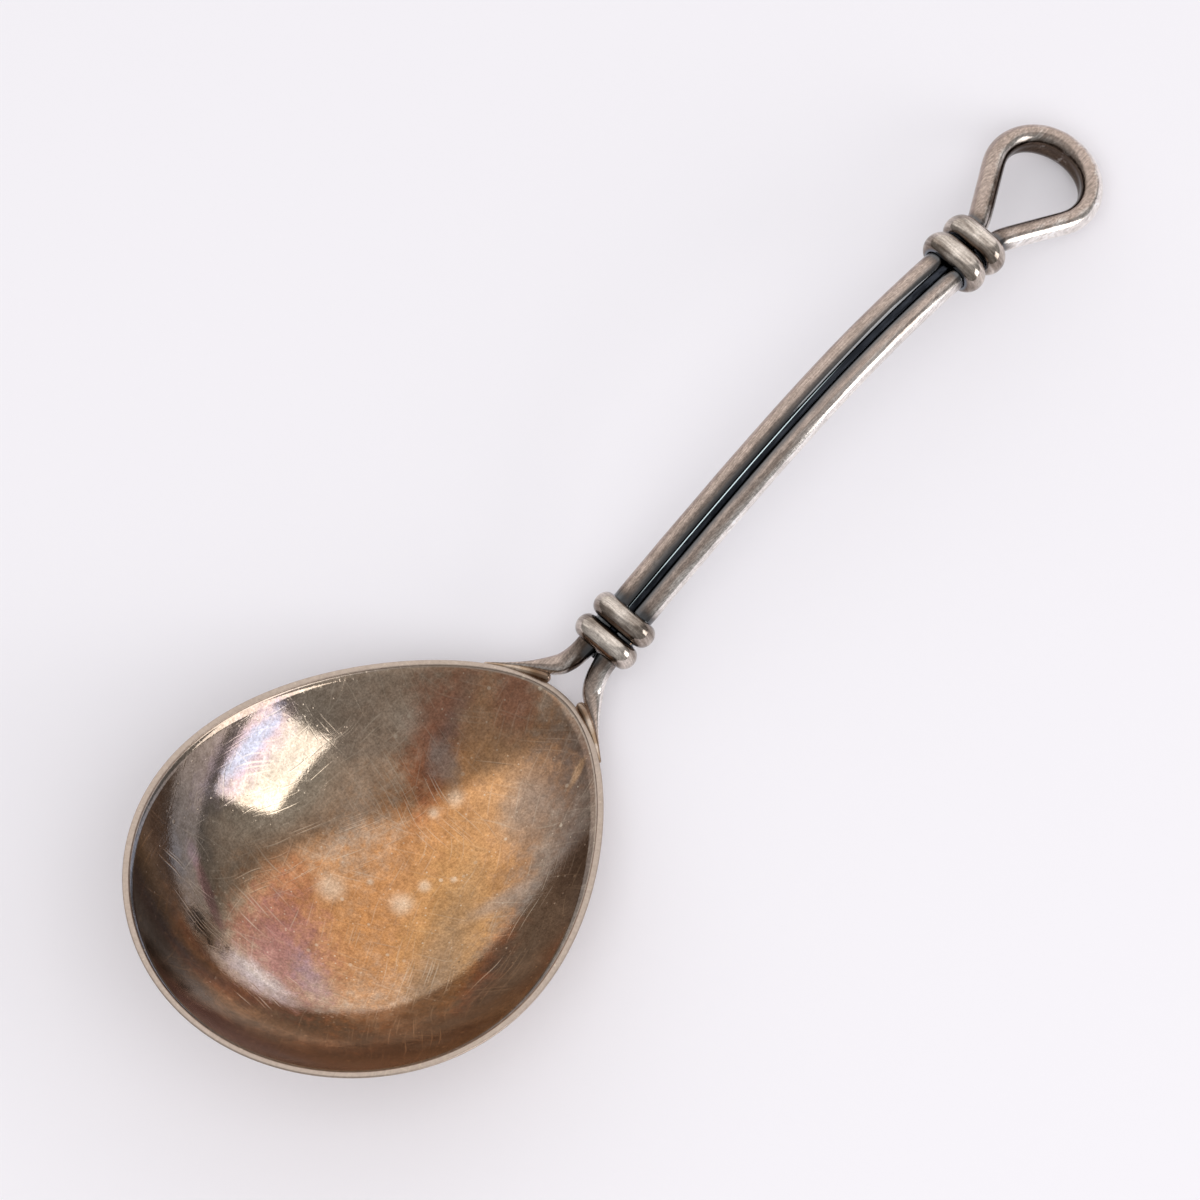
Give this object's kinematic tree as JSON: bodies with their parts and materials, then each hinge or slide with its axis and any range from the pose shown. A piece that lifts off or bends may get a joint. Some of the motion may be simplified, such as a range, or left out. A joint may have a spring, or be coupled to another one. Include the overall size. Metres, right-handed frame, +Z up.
{
  "type": "serving ladle",
  "caption": "Silver serving spoon of the sauce-ladle kind: a fig-shaped dish on an arched double-wire handle bound with half-round rings and ending in a teardrop hanging loop.",
  "frame": {"origin": "middle of the bounding box in plan, on the table that the spoon lies on", "axes": "+Z up off the table, +X along the spoon from the bowl to the hanging loop, +Y to the left of the handle seen from above"},
  "size_m": [0.1638, 0.0538, 0.0288],
  "materials": {
    "bowl_silver": "raised sheet silver, rubbed to a satin polish and heavily tarnished to olive and copper brown inside",
    "wire_silver": "drawn silver wire, satin from handling, grey-brown tarnish in the recesses",
    "ring_silver": "half-round silver wire, polished on its crown and dark in the joints",
    "groove_solder": "silver solder oxidised blue-black, smooth and glossy",
    "leg_solder": "lumpy silver solder with brown fire stain"
  },
  "bodies": {
    "root": {"bowl": "bowl_silver", "handle_wire": "wire_silver", "lower_ring_bowl_side": "ring_silver", "lower_ring_stem_side": "ring_silver", "upper_ring_stem_side": "ring_silver", "upper_ring_loop_side": "ring_silver", "stem_solder": "groove_solder", "left_leg_solder": "leg_solder", "right_leg_solder": "leg_solder"}
  },
  "joints": []
}
